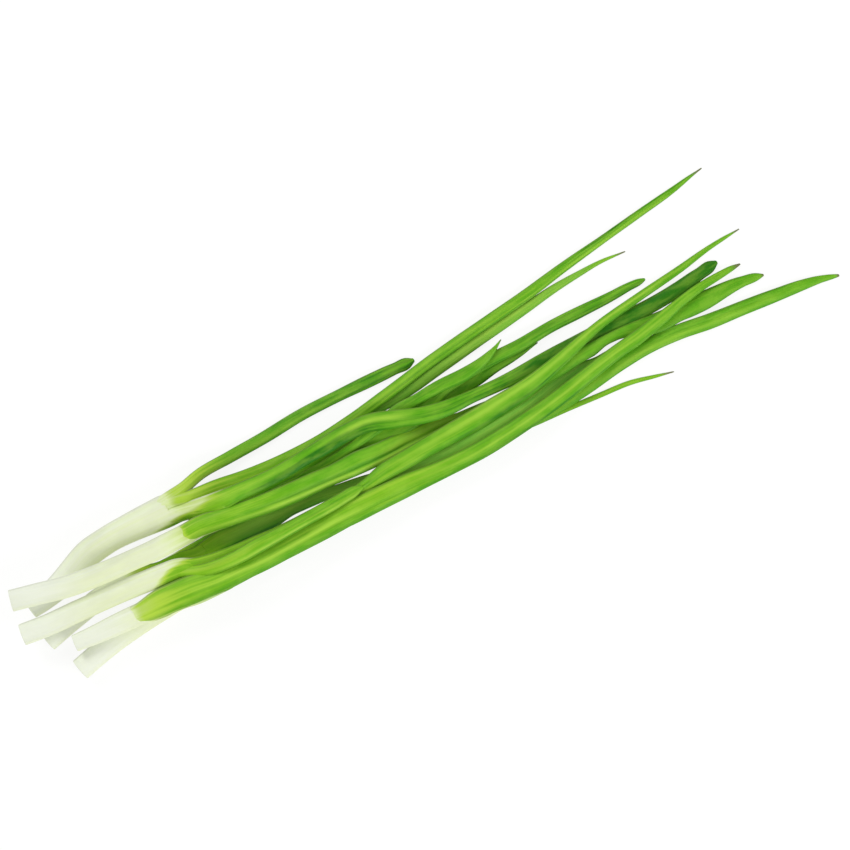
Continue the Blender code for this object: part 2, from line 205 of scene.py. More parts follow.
# %% Routes of the leaves
LEAF_ROUTES = {
    "onion_1_leaf_1": (
        (-105, 19.8, 5), (-96, 21.8, 5.4), (-80, 22.4, 5.4), (-62, 22.9, 5.6), (-43, 24.1, 5.6),
        (-23, 23.8, 5.6), (-8, 23.2, 5.9), (3, 22.7, 5.4), (10, 22.2, 4), (13, 22.1, 1.4),
    ),
    "onion_1_leaf_2": (
        (-104, 14.9, 5), (-92, 13.6, 6.3), (-78, 11.3, 6.3), (-61, 9.8, 6.3), (-44, 9.6, 5.9),
        (-25, 11.3, 5.4), (-6, 13.9, 5.4), (20, 18.1, 5.4), (47, 21.4, 5.4), (72, 24.2, 5.2),
        (92, 27.3, 4.7), (113, 30, 3.8), (134, 32.7, 3.6), (153, 35.1, 2.7), (163, 36.8, 1.5),
        (168, 37.5, 0.9),
    ),
    "onion_1_leaf_3": (
        (-105, 9.5, 5.9), (-93, 7.8, 7.7), (-78, 6.2, 7.7), (-61, 5.6, 7.2), (-45, 6.8, 6.8),
        (-29, 8, 6.8), (-17, 7.1, 6.8), (-6, 3.4, 6.8), (5, -0.7, 6.3), (18, -3.4, 5.9),
        (33, -5, 5.9), (48, -5.8, 6.3), (66, -5.2, 6.3), (84, -5.1, 6.3), (101, -5.3, 6.3),
        (119, -6, 6.3), (134, -5.5, 6.5), (144, -4.2, 5.9), (151, -3.3, 4), (154, -3, 1.4),
    ),
    "onion_1_leaf_4": (
        (-102, 10.4, 4), (-82, 8.7, 4.5), (-62, 8.2, 4.5), (-25, 10.1, 4.5), (6, 11, 5),
        (22, 13.2, 5), (44, 16.1, 5), (69, 19, 4.5), (83, 20.7, 4), (98, 21.5, 2.7),
        (108, 21.7, 1.8), (120, 20.6, 0.9),
    ),
    "onion_2_leaf_1": (
        (-106, 1.7, 8.6), (-95, -0.4, 9), (-81, -2.8, 9), (-66, -4.7, 9.5), (-49, -5.8, 9.5),
        (-32, -7.6, 9), (-18, -8.8, 8.1), (-2, -8.8, 6.8), (13, -8.7, 6.3), (30, -9.8, 5.9),
        (50, -11.9, 5.4), (70, -12, 5.4), (90, -11.7, 5.4), (110, -12.6, 5.9), (130, -13.9, 6.1),
        (145, -14.5, 6.1), (160, -15.8, 4.5), (167, -17.2, 3.1), (170, -17.9, 1),
    ),
    "onion_2_leaf_2": (
        (-98, 2.9, 4.5), (-80, 2.7, 5), (-62, 2.8, 5.4), (-45, 2.2, 5.9), (-30, 1.6, 5.9),
        (-18, 0.5, 5.4), (-5, 0, 5), (8, 1.8, 5), (25, 4.6, 5.4), (41, 5.9, 5.9),
        (59, 5.6, 5.9), (75, 6.4, 5.4), (90, 6.1, 5.2), (105, 5.7, 4.5), (115, 5.8, 3.6),
        (120, 5.5, 2.2), (122, 5.4, 1),
    ),
    "onion_2_leaf_3": (
        (-97, -0.6, 4), (-77, -1, 4), (-57, -1.1, 4), (-36, -0.1, 4), (-14, 2.6, 4.5),
        (3, 5.4, 5), (18, 6.2, 5.9), (31, 5.7, 5.9), (40, 6.9, 4.5), (47, 9.1, 2.7),
        (52, 11.6, 0.9),
    ),
    "onion_3_leaf_1": (
        (-115, -14.6, 8.6), (-101, -17, 9), (-86, -16.9, 9), (-68, -17.6, 9), (-50, -17.4, 9),
        (-29, -16.3, 8.6), (-9, -15.6, 8.6), (12, -14.6, 8.6), (33, -13.5, 8.1), (55, -11.6, 6.8),
        (72, -8, 5.2), (95, -3.1, 4.3), (117, -0.3, 3.8), (138, 2, 3.4), (155, 4.4, 2.2),
        (166, 5.2, 1.4), (170, 5.4, 0.9),
    ),
    "onion_3_leaf_2": (
        (-114, -16.8, 5.9), (-99, -18.8, 6.3), (-84, -18.4, 6.8), (-68, -18, 6.8), (-55, -17.7, 6.8),
        (-45, -17.5, 6.3), (-38, -17.3, 4.5), (-34, -17.4, 1.4),
    ),
    "onion_4_leaf_1": (
        (-112, -9, 6.8), (-102, -10.1, 7.7), (-90, -11, 8.1), (-75, -11.4, 8.1), (-60, -12.5, 7.7),
        (-46, -14.1, 6.8), (-32, -16.1, 6.3), (-16, -19.5, 6.3), (4, -21.6, 6.3), (21, -21.8, 6.3),
        (37, -21.4, 6.3), (53, -19.4, 6.3), (67, -17.1, 5.9), (81, -15.7, 5.4), (92, -14.3, 4),
        (100, -13.5, 1.8),
    ),
    "onion_4_leaf_2": (
        (-102, -5.4, 4), (-79, -4.2, 4), (-58, -3.5, 4), (-37, -2, 4), (-16, -0.2, 4.5),
        (1, 1.4, 5), (13, 1.1, 5), (26, 1.2, 5), (39, 2.1, 5), (50, 2.4, 4.8),
        (60, 2.6, 2.7), (66, 2.8, 0.9),
    ),
    "onion_5_leaf_1": (
        (-142, -21.4, 10.8), (-129, -22.3, 11.2), (-115, -23.5, 11.2), (-100, -24.2, 11.2),
        (-85, -25, 10.8), (-70, -25, 10.8), (-54, -25, 10.3), (-39, -25.7, 9.9),
        (-19, -26.6, 9), (1, -27.3, 8.6), (21, -27.7, 8.1), (42, -26.2, 7.7), (58, -24.2, 7.4),
        (75, -21.4, 7.4), (92, -18.2, 6.8), (109, -15.4, 5.6), (126, -12.2, 4.7), (143, -9.4, 4),
        (153, -8.8, 3.4), (160, -8.6, 2.2), (163, -8.7, 0.9),
    ),
    "onion_6_leaf_1": (
        (-121, -25.7, 6.8), (-109, -26.6, 6.8), (-93, -26.6, 6.8), (-76, -27.4, 6.3), (-43, -27.5, 5.9),
        (-19, -25.9, 5.9), (6, -26.5, 5.9), (32, -25.9, 5.9), (57, -26.9, 5.9), (78, -25.1, 6.3),
        (95, -22.7, 6.8), (110, -21.8, 7.2), (125, -22.8, 7.2), (139, -25, 7), (156, -26.8, 6.5),
        (171, -28.6, 5.9), (183, -30.1, 5), (192, -31.7, 3.4), (197, -33.1, 1.9), (200, -34, 0.9),
    ),
    "onion_6_leaf_2": (
        (-116, -25.8, 4), (-96, -26.7, 4), (-56, -27.7, 4), (-15, -28, 4), (5, -27.7, 3.6),
        (31, -27.1, 3.1), (51, -28.8, 2.7), (63, -29.7, 2.5), (80, -31.2, 2.5), (95, -32.7, 2.2),
        (106, -35.4, 1.6), (114, -37.4, 0.9),
    ),
}
print(len(SHANK_ROUTES), "shanks and", len(LEAF_ROUTES), "leaves")

# %% [markdown]
# ## A smooth line through a route
# A stalk bends softly, so its line is a cubic curve through the route's points, read at every
# millimetre. Each step knows its place in plan, the direction to its left and its width.

# %% Smooth lines
STEP = 1.0


def smooth_line(route):
    """Points in plan, widths and distances along a soft curve through the route (mm)."""
    points = np.array(route, float) - (*BOX_MIDDLE, 0.0)
    gaps = np.hypot(*(points[1:, :2] - points[:-1, :2]).T)
    at = np.concatenate([[0.0], np.cumsum(gaps)])
    slope = np.gradient(points, at, axis=0)
    wanted = np.linspace(0.0, at[-1], max(2, round(at[-1] / STEP) + 1))
    first = np.clip(np.searchsorted(at, wanted, side="right") - 1, 0, len(at) - 2)
    span = (at[first + 1] - at[first])[:, None]
    u = (wanted - at[first])[:, None] / span
    curve = (
        (2 * u**3 - 3 * u**2 + 1) * points[first]
        + (u**3 - 2 * u**2 + u) * span * slope[first]
        + (3 * u**2 - 2 * u**3) * points[first + 1]
        + (u**3 - u**2) * span * slope[first + 1]
    )
    return curve[:, :2], curve[:, 2], wanted


def to_the_left(plan):
    forward = np.gradient(plan, axis=0)
    forward /= np.linalg.norm(forward, axis=1)[:, None]
    return np.stack([-forward[:, 1], forward[:, 0]], axis=1)


def easing(values, low, high):
    """0 below LOW, 1 above HIGH, and soft in between."""
    share = np.clip((values - low) / (high - low), 0.0, 1.0)
    return share * share * (3.0 - 2.0 * share)


def wavering(reach, longest, seed):
    """A slow waver between about -1 and 1 along a stalk, the same in each run."""
    phases = zip((1.0, 2.3, 4.1), np.random.default_rng(seed).uniform(0.0, math.tau, 3))
    waves = [np.sin(math.tau * reach * k / longest + phase) / k for k, phase in phases]
    return sum(waves) / 1.6


widest = max(smooth_line(route)[1].max() for route in LEAF_ROUTES.values())
print("the widest leaf is", round(widest, 1), "mm")

# %% [markdown]
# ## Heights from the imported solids
# The pile was laid when the solids were made, so the height and thickness of a stalk are read from
# its own solid: a ray goes down on its middle line and another comes up. The solids have facets and
# straight stretches, which a little smoothing takes out.

# %% Heights
SMOOTHING = 5.0
RAY_START = 1.0
STRAIGHT_ON = 30.0


def surface_of(name):
    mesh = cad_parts[name].data
    corners = [vertex.co.copy() for vertex in mesh.vertices]
    return BVHTree.FromPolygons(corners, [tuple(face.vertices) for face in mesh.polygons])


def heights_under(surface, plan):
    """Highest and lowest point of a surface above and below each plan point (mm)."""
    found = np.full((len(plan), 2), np.nan)
    for row, (x, y) in enumerate(plan * MM):
        top = surface.ray_cast((x, y, RAY_START), (0.0, 0.0, -1.0))[0]
        if top is not None:
            bottom = surface.ray_cast((x, y, -RAY_START), (0.0, 0.0, 1.0))[0]
            found[row] = top.z / MM, bottom.z / MM
    met = np.flatnonzero(~np.isnan(found[:, 0]))
    rows = np.arange(len(plan))
    return np.interp(rows, met, found[met, 0]), np.interp(rows, met, found[met, 1])


def smoothed(values):
    offsets = np.arange(-3 * SMOOTHING, 3 * SMOOTHING + STEP, STEP)
    weights = np.exp(-((offsets / SMOOTHING) ** 2) / 2.0)
    padded = np.pad(values, len(offsets) // 2, mode="edge")
    return np.convolve(padded, weights / weights.sum(), mode="valid")


class Stalk:
    """A stalk's middle line with its half sizes, readable at any distance along it (mm)."""

    def __init__(self, reach, columns):
        self.reach = reach
        self.columns = columns
        self.length = reach[-1]

    def read(self, reach):
        """Columns x, y, left x, left y, half width, half height and middle, also past the ends."""
        inside = np.clip(reach, 0.0, self.length)
        columns = [np.interp(inside, self.reach, column) for column in self.columns.T]
        found = np.stack(columns, axis=-1)
        forward = np.stack([found[..., 3], -found[..., 2]], axis=-1)
        found[..., :2] += forward * (reach - inside)[..., None]
        return found


def stalk_along(route, name, facet_sides):
    """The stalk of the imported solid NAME, along a route in plan."""
    plan, widths, reach = smooth_line(route)
    top, bottom = heights_under(surface_of(name), plan)
    half_height = smoothed((top - bottom) / 2) / math.cos(math.pi / facet_sides)
    middle = smoothed((top + bottom) / 2)
    return Stalk(reach, np.column_stack([plan, to_the_left(plan), widths / 2, half_height, middle]))


SHANK_FACETS = 14
BARE_SHANKS = {name: stalk_along(route, name, SHANK_FACETS) for name, route in SHANK_ROUTES.items()}
for name, shank in BARE_SHANKS.items():
    thickness = round(2 * shank.columns[:, 5].max(), 1)
    print(name, "is", round(shank.length), "mm long and", thickness, "mm thick")

# %% [markdown]
# ## A straight tube, drawn out ring by ring
# Every stalk starts as the same thing: a circle of vertices, extruded along Z one unit at a time and
# closed at the far end. The ring number and the angle of each vertex say where it belongs, so the
# straight tube can then be laid along its stalk in one step. This keeps the faces in neat rows along
# the stalk, which is what a leaf's creases and veins follow.

# %% Straight tube
def straight_tube(ring_count, sides):
    """A mesh of RING_COUNT rings one unit apart, closed at both ends."""
    shape = bmesh.new()
    bmesh.ops.create_circle(shape, cap_ends=True, radius=1.0, segments=sides)
    edges = list(shape.edges)
    for level in range(1, ring_count):
        drawn = bmesh.ops.extrude_edge_only(shape, edges=edges)["geom"]
        ring = {item for item in drawn if isinstance(item, bmesh.types.BMVert)}
        bmesh.ops.translate(shape, verts=list(ring), vec=(0.0, 0.0, 1.0))
        drawn_edges = (item for item in drawn if isinstance(item, bmesh.types.BMEdge))
        edges = [edge for edge in drawn_edges if ring.issuperset(edge.verts)]
    bmesh.ops.contextual_create(shape, geom=edges)
    bmesh.ops.recalc_face_normals(shape, faces=shape.faces)
    mesh = bpy.data.meshes.new("tube")
    shape.to_mesh(mesh)
    shape.free()
    return mesh


def rings_and_angles(mesh):
    points = np.empty(len(mesh.vertices) * 3)
    mesh.vertices.foreach_get("co", points)
    points = points.reshape(-1, 3)
    return np.round(points[:, 2]).astype(int), np.arctan2(points[:, 1], points[:, 0])


def finish_tube(mesh, name, points, attributes, material, slot, *nodes):
    """Moves the tube's vertices to POINTS (mm), stores what its material reads, links it into the scene
    under the root body and hides the solids that it replaces.
    """
    mesh.vertices.foreach_set("co", (points * MM).ravel())
    for label, values in attributes.items():
        layer = mesh.attributes.new(label, "FLOAT_VECTOR", "POINT")
        layer.data.foreach_set("vector", values.ravel())
    mesh.materials.append(material)
    mesh.shade_smooth()
    mesh.update()
    piece = bpy.data.objects.new(name, mesh)
    bpy.context.scene.collection.objects.link(piece)
    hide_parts(*nodes)
    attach(piece, "root")
    return piece


print("a tube of 3 rings has", len(straight_tube(3, 8).vertices), "vertices")

# %% [markdown]
# ## Fine lines along the skin
# Both the white sheaths and the green blades have fine parallel veins that run from base to tip. The
# effect is one node group for both. It reads the skin attribute, whose first two numbers go round the
# stalk and whose third runs along it in centimetres, so that a noise stretched along the third number
# draws lines with no seam. The group gives fine lines, broad soft streaks, and a mottle that hardly
# follows the stalk.

# %% Node helpers
def new_group(name, inputs, outputs):
    """An empty node group, with (label, kind, value) inputs and (label, kind) outputs."""
    group = bpy.data.node_groups.new(name, "ShaderNodeTree")
    for label, kind, value in inputs:
        socket = group.interface.new_socket(label, in_out="INPUT", socket_type=kind)
        if value is not None:
            socket.default_value = value
    for label, kind in outputs:
        group.interface.new_socket(label, in_out="OUTPUT", socket_type=kind)
    return group, group.nodes.new("NodeGroupInput"), group.nodes.new("NodeGroupOutput")


def link_or_set(tree, socket, value):
    """Links a socket to a node's output, or sets it to a number or a colour."""
    if isinstance(value, bpy.types.NodeSocket):
        tree.links.new(value, socket)
    elif isinstance(value, tuple):
        socket.default_value = (*value, 1.0)
    else:
        socket.default_value = value


def node(tree, kind, settings=None, **links):
    """A new node with its settings made, and its inputs linked or set by label."""
    made = tree.nodes.new(kind)
    for key, value in (settings or {}).items():
        setattr(made, key, value)
    for label, value in links.items():
        link_or_set(tree, made.inputs[label], value)
    return made


def ramp(tree, value, *stops):
    """A soft ramp from a value to grey levels, through (position, level) stops."""
    made = node(tree, "ShaderNodeValToRGB", Fac=value)
    made.color_ramp.interpolation = "EASE"
    elements = made.color_ramp.elements
    while len(elements) < len(stops):
        elements.new(0.5)
    for element, (position, level) in zip(elements, stops):
        element.position = position
        element.color = (level, level, level, 1.0)
    return made.outputs["Color"]


def blended(tree, share, first, second, mode="MIX"):
    """Two colours mixed by a share."""
    made = node(tree, "ShaderNodeMix", {"data_type": "RGBA", "blend_type": mode})
    for place, value in ((0, share), (6, first), (7, second)):
        link_or_set(tree, made.inputs[place], value)
    return made.outputs[2]


def product(tree, first, second, operation="MULTIPLY"):
    """Two numbers multiplied, or joined by another operation."""
    made = node(tree, "ShaderNodeMath", {"operation": operation})
    link_or_set(tree, made.inputs[0], first)
    link_or_set(tree, made.inputs[1], second)
    return made.outputs[0]


def parts_of(tree, vector):
    split = node(tree, "ShaderNodeSeparateXYZ", Vector=vector)
    return split.outputs["X"], split.outputs["Y"], split.outputs["Z"]


# %% The vein group
VEIN_NUMBERS = [("Fineness", "NodeSocketFloat", 9.0), ("Run", "NodeSocketFloat", 0.12)]
# Streaks are broader than lines and change faster along the stalk, by these factors
STREAK_FINENESS, STREAK_RUN = 0.28, 1.6
# Mottle round the stalk, and per centimetre along it
MOTTLE_SCALES = (1.1, 0.9)


def vein_group():
    group, given, result = new_group(
        "stalk veins",
        [("Skin", "NodeSocketVector", None), *VEIN_NUMBERS],
        [("Lines", "NodeSocketFloat"), ("Streaks", "NodeSocketFloat"), ("Mottle", "NodeSocketFloat")],
    )
    x, y, z = parts_of(group, given.outputs["Skin"])
    fine, run = given.outputs["Fineness"], given.outputs["Run"]
    broad = product(group, fine, STREAK_FINENESS)
    long = product(group, run, STREAK_RUN)

    def noise(label, scale, along, detail, low, high):
        """A noise stretched along the stalk, spread between two of its levels."""
        place = node(
            group, "ShaderNodeCombineXYZ",
            X=product(group, x, scale), Y=product(group, y, scale), Z=product(group, z, along),
        )
        at = place.outputs["Vector"]
        made = node(group, "ShaderNodeTexNoise", Vector=at, Scale=1.0, Detail=detail)
        spread = ramp(group, made.outputs["Fac"], (low, 0.0), (high, 1.0))
        group.links.new(spread, result.inputs[label])

    noise("Lines", fine, run, 2.0, 0.34, 0.66)
    noise("Streaks", broad, long, 2.0, 0.32, 0.68)
    noise("Mottle", *MOTTLE_SCALES, 3.0, 0.35, 0.65)
    return group


VEINS = vein_group()
print("vein group with", len(VEINS.nodes), "nodes")

# %% [markdown]
# ## Two skins
# The finishes read three attributes of the mesh. `skin` is the place on the stalk. `tint` holds how
# green the skin is (below 0 it is the bare white near the cut end), how dark its green is, which is
# partly its own tone and partly painted shade, and how dry it is. `marks` holds lines of painted shade
# in the creases and the grooves of the cut face, painted highlights along the top, and blue wax. So
# one leaf finish serves all the leaves, and one shank finish all the shanks.
#
# Moist skin scatters much light inside, most of all where it is white. A little subsurface light and
# a weak glow of the skin's own colour stand in for that.

# %% The skin group
SKIN_BARE = (0.57, 0.59, 0.52)
SKIN_WHITE = (0.55, 0.58, 0.48)
SKIN_CREAM = (0.51, 0.55, 0.33)
SKIN_TINGED = (0.47, 0.57, 0.21)
SKIN_LIME = (0.40, 0.59, 0.05)
SKIN_FRESH = (0.20, 0.455, 0.012)
SKIN_GREEN = (0.105, 0.36, 0.008)
SKIN_DARK = (0.02, 0.155, 0.003)
# Light green of the mottle and of the painted highlights
SKIN_MOTTLE_AND_HIGHLIGHT = (0.38, 0.62, 0.06)
SKIN_WAX = (0.18, 0.42, 0.13)
SKIN_DRY = (0.14, 0.15, 0.06)
# Grey of the pale skin's mottle, also the painted shade on its upper edge; then the painted shade on a
# green upper edge
PALE_GREY_AND_EDGE_SHADE = (0.42, 0.44, 0.36)
GREEN_EDGE_SHADE = (0.11, 0.19, 0.03)
# Painted shade in the creases and in the grooves of the cut face
CREASE_AND_GROOVE_SHADE = (0.22, 0.30, 0.08)
# How far the green creeps along the veins, and how much of their colour other things bring
CREEP = 0.45
CREAM_STREAKS, TINGED_LINES, GREY_MOTTLE = 0.6, 0.28, 0.35
DARK_LINES, BRIGHT_MOTTLE = 0.22, 0.22
# The last two are the shares of painted shade on the upper edge and on the right flank
WAX_SHARE, BARE_SHARE, EDGE_SHADE_SHARE, FLANK_SHADE_SHARE = 0.75, 0.8, 0.7, 0.4
# Between which values of green and of depth the skin takes each colour
TO_TINGED, TO_LIME, TO_FRESH, TO_STRONG = (0.0, 0.3), (0.22, 0.6), (0.55, 1.0), (0.3, 0.9)
TO_GREEN, TO_DARK = (0.0, 0.5), (0.5, 1.0)
# The depth of a full tone with no streak, and what a streak adds
DEPTH_START, DEPTH_STREAKS = 0.72, 0.5
# Places across: 1 is the left edge, upper in the picture, and -1 the right. Painted shade lies along
# the upper edge, grey on pale skin and dark olive on green, and over the right side, cream on pale skin
# and dark green on green
UPPER_EDGE_SHADE, LOWER_FLANK_SHADE = (0.80, 0.97), (0.55, 1.0)
CREAM_FLANK_SHADE = ((0.0, 0.45), (0.62, 0.0))
ROUGHNESS_SMOOTH, ROUGHNESS_STREAKY = 0.38, 0.52


def skin_group():
    group, given, result = new_group(
        "onion skin",
        [(name, "NodeSocketVector", None) for name in ("Skin", "Tint", "Marks")] + VEIN_NUMBERS,
        [("Colour", "NodeSocketColor")]
        + [(name, "NodeSocketFloat") for name in ("Roughness", "White", "Lines")],
    )

    def part(value, share):
        return product(group, value, share)

    def rise(value, span):
        """0 to 1 over a span of a value."""
        return ramp(group, value, (span[0], 0.0), (span[1], 1.0))

    def layered(colour, *layers):
        """A colour with others laid over it, each by its share."""
        for share, over in layers:
            colour = blended(group, share, colour, over)
        return colour

    green, dark, dry = parts_of(group, given.outputs["Tint"])
    # The marks: painted shade in creases and grooves, painted highlights, and blue wax
    crease, bright, wax = parts_of(group, given.outputs["Marks"])
    across = parts_of(group, given.outputs["Skin"])[0]
    veins = node(
        group, "ShaderNodeGroup", {"node_tree": VEINS},
        Skin=given.outputs["Skin"], Fineness=given.outputs["Fineness"], Run=given.outputs["Run"],
    )
    streaks, lines, mottle = (veins.outputs[name] for name in ("Streaks", "Lines", "Mottle"))
    # The green creeps into the white along the veins
    rough_end = part(product(group, streaks, 0.5, "SUBTRACT"), part(green, CREEP))
    green = product(group, green, rough_end, "ADD")

    pale = layered(
        SKIN_WHITE,
        (part(streaks, CREAM_STREAKS), SKIN_CREAM),
        (part(lines, TINGED_LINES), SKIN_TINGED),
        (part(mottle, GREY_MOTTLE), PALE_GREY_AND_EDGE_SHADE),
        # Painted shade: the right side of pale skin is creamier
        (ramp(group, across, *CREAM_FLANK_SHADE), SKIN_CREAM),
        (part(rise(part(green, -1.0), (0.0, 1.0)), BARE_SHARE), SKIN_BARE),
    )
    fresh = layered(
        pale,
        (rise(green, TO_TINGED), SKIN_TINGED),
        (rise(green, TO_LIME), SKIN_LIME),
        (rise(green, TO_FRESH), SKIN_FRESH),
    )
    depth = part(dark, product(group, part(streaks, DEPTH_STREAKS), DEPTH_START, "ADD"))
    strong = rise(green, TO_STRONG)
    # Painted shade along the upper edge and down the right flank
    upper = part(rise(across, UPPER_EDGE_SHADE), EDGE_SHADE_SHARE)
    lower_flank_shade = part(rise(part(across, -1.0), LOWER_FLANK_SHADE), FLANK_SHADE_SHARE)
    colour = layered(
        fresh,
        (rise(depth, TO_GREEN), SKIN_GREEN),
        (rise(depth, TO_DARK), SKIN_DARK),
        (part(part(lines, DARK_LINES), strong), SKIN_DARK),
        (part(part(mottle, BRIGHT_MOTTLE), strong), SKIN_MOTTLE_AND_HIGHLIGHT),
        # Painted highlights along the top of a leaf
        (bright, SKIN_MOTTLE_AND_HIGHLIGHT),
        (part(wax, WAX_SHARE), SKIN_WAX),
        # Painted shade in the creases and in the grooves of the cut face
        (crease, layered(CREASE_AND_GROOVE_SHADE, (strong, SKIN_DARK))),
        # Painted shade on the upper edge and on the right flank
        (upper, layered(PALE_GREY_AND_EDGE_SHADE, (strong, GREEN_EDGE_SHADE))),
        (lower_flank_shade, layered(SKIN_CREAM, (strong, SKIN_DARK))),
        (dry, SKIN_DRY),
    )

    either = product(group, streaks, dry, "MAXIMUM")
    roughness = ramp(group, either, (0.0, ROUGHNESS_SMOOTH), (1.0, ROUGHNESS_STREAKY))
    group.links.new(colour, result.inputs["Colour"])
    group.links.new(roughness, result.inputs["Roughness"])
    group.links.new(ramp(group, green, (0.0, 1.0), (0.5, 0.0)), result.inputs["White"])
    group.links.new(lines, result.inputs["Lines"])
    return group


SKIN = skin_group()
print("skin group with", len(SKIN.nodes), "nodes")

# %% Leaf and shank finishes
VEIN_HEIGHT, VEIN_RELIEF = 0.12 * MM, 0.35
GLOW_OF_GREEN, GLOW_OF_WHITE = 0.10, 0.48
SKIN_SETTINGS = {
    "Emission Strength": 1.0,
    "Subsurface Weight": 0.12,
    "Subsurface Radius": (1.0, 1.0, 0.6),
    "Subsurface Scale": 2.0 * MM,
    "Specular IOR Level": 0.12,
}
# Veins round the stalk, and their changes per centimetre along it
LEAF_VEINS = (9.0, 0.12)
SHANK_VEINS = (11.0, 0.10)


def attribute(tree, label):
    settings = {"attribute_name": label, "attribute_type": "GEOMETRY"}
    return node(tree, "ShaderNodeAttribute", settings).outputs["Vector"]


def onion_finish(name, fineness, run):
    """Onion skin, which glows weakly in its own colour where it is white and hardly where green."""
    finish = bpy.data.materials.new(name)
    finish.use_nodes = True
    tree = finish.node_tree
    shader = tree.nodes["Principled BSDF"]
    skin = node(
        tree, "ShaderNodeGroup", {"node_tree": SKIN},
        Skin=attribute(tree, "skin"), Tint=attribute(tree, "tint"), Marks=attribute(tree, "marks"),
        Fineness=fineness, Run=run,
    )
    height = skin.outputs["Lines"]
    bump = node(tree, "ShaderNodeBump", Height=height, Distance=VEIN_HEIGHT, Strength=VEIN_RELIEF)
    strength = ramp(tree, skin.outputs["White"], (0.0, GLOW_OF_GREEN), (1.0, GLOW_OF_WHITE))
    glow = blended(tree, 1.0, skin.outputs["Colour"], strength, "MULTIPLY")
    tree.links.new(skin.outputs["Colour"], shader.inputs["Base Color"])
    tree.links.new(skin.outputs["Roughness"], shader.inputs["Roughness"])
    tree.links.new(glow, shader.inputs["Emission Color"])
    tree.links.new(bump.outputs["Normal"], shader.inputs["Normal"])
    for label, value in SKIN_SETTINGS.items():
        shader.inputs[label].default_value = value
    return finish


GREEN_LEAF = onion_finish("green_leaf", *LEAF_VEINS)
PALE_SHANK = onion_finish("pale_shank", *SHANK_VEINS)
print("finishes:", GREEN_LEAF.name, PALE_SHANK.name)

# %% [markdown]
# ## How the shanks and leaves differ
# A shank is leaf sheaths rolled round each other. The outermost sheath of onions 1, 3 and 4 turns
# without a step into their lowest leaf, so the green only fades in there, further back on one side
# than on the other. On onions 2, 5 and 6 it stops in an oblique, thin-edged mouth, and the main leaf
# comes out of it already green. Each look below says which is which, and where the green begins.

# %% What each shank looks like
@dataclass
class ShankLook:
    """The leaf that the sheath runs on along, its rim as (angle, distance past the mouth) with 0
    at the left and 90 on top, where the skin turns green and over what length, how much later it
    does so on its left side and between which places across, and how far the mouth is spread (mm).
    Bulges move the outline out (or in) on one side, 1 left and -1 right, between two distances
    past the mouth."""

    follows: str
    rim: tuple
    green_from: float
    green_over: float
    pale_run: float = 0.0
    pale_side: tuple = (-1.0, 1.0)
    spread: float = 0.0
    bulges: tuple = ()


SHANK_LOOKS = {
    "onion_1_shank": ShankLook(
        "onion_1_leaf_3",
        ((-60, 20), (-20, 0), (10, -1), (60, -2.2), (96, -2.5), (106, 3), (125, 22), (240, 24)),
        -18, 20, 26, (-1.3, 0.8), 3.0,
    ),
    "onion_2_shank": ShankLook(
        "onion_2_leaf_1",
        ((0, 1.5), (90, 0.9), (130, 2), (155, 5), (180, 22), (270, 34), (330, 8)),
        -18, 60, bulges=((-1, 0.8, -26, 16),),
    ),
    "onion_3_shank": ShankLook("onion_3_leaf_1", ((0, 8), (90, 12), (180, 8), (290, -2)), -13, 10, 14),
    "onion_4_shank": ShankLook(
        "onion_4_leaf_1", ((0, 10), (90, 14), (180, 10), (270, 0)), -30, 26,
        bulges=((1, 1.8, -54, -16), (1, -1.6, -18, 14)),
    ),
    "onion_5_shank": ShankLook(
        "onion_5_leaf_1",
        ((0, -0.5), (90, -0.5), (130, 1), (155, 5), (180, 14), (270, 26), (330, 6)),
        -10, 40,
    ),
    "onion_6_shank": ShankLook(
        "onion_6_leaf_1",
        ((0, -3), (60, -2), (100, 4), (150, 20), (190, 26), (270, 28), (330, 4)),
        0, 70,
    ),
}

# %% What each leaf looks like
@dataclass
class LeafLook:
    """The seat is across, up, width and thickness in shares of the shank's mouth. The base is how
    green the leaf comes out of it. Tones run from seat to tip, 0 bright to 1 dark, partly the leaf's
    own green along its length and partly painted shade where a stretch lies in shadow. Lengths are in
    mm
    from the seat or the tip: PALE is where the green is full, DRY how long the dry tip is, 0 for none.
    Bulges are as on a shank. TIP is how wide the last millimetres are, below 1 for a pointed tip.
    Painted shade, creases and painted highlights are each a place across (-1 to 1), a width, an amount,
    a start and an end: painted shade adds to the tone, a crease is pressed in and gets a line of
    painted shade, a painted highlight is a bright band along the top."""

    seat: tuple
    tones: tuple
    pale: float = 20.0
    base: float = 0.7
    lean: tuple = (0.0, 0.0)
    painted_shades: tuple = ()
    creases: tuple = ()
    strips: tuple = ()
    bulges: tuple = ()
    wax: float = 0.0
    dry: float = 3.0
    tip: float = 0.6


